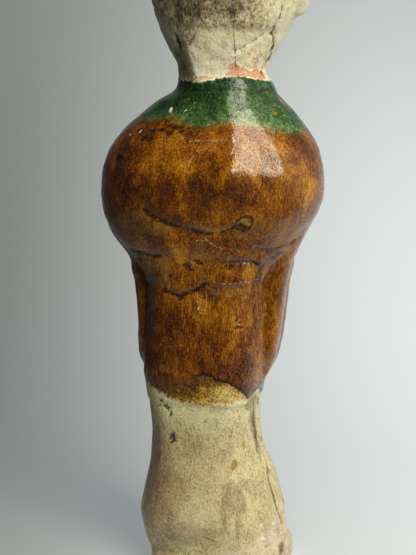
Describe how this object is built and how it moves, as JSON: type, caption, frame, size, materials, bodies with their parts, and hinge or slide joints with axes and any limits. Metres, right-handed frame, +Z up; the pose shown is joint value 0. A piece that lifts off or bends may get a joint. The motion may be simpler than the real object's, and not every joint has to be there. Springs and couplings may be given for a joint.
{
  "type": "tomb attendant figure",
  "caption": "Standing glazed earthenware tomb attendant in a wide-sleeved jacket, hands joined, with a bare clay head, soft cap and low base.",
  "frame": {"origin": "middle of the base's flat underside", "axes": "+Z up through the standing figure, the figure faces -Y, its own left is +X"},
  "size_m": [0.0939, 0.0761, 0.2995],
  "materials": {
    "glazed_earthenware": "glossy amber, green and straw lead glazes over white earthenware, head left unglazed"
  },
  "bodies": {
    "root": {"figure": "glazed_earthenware"}
  },
  "joints": []
}
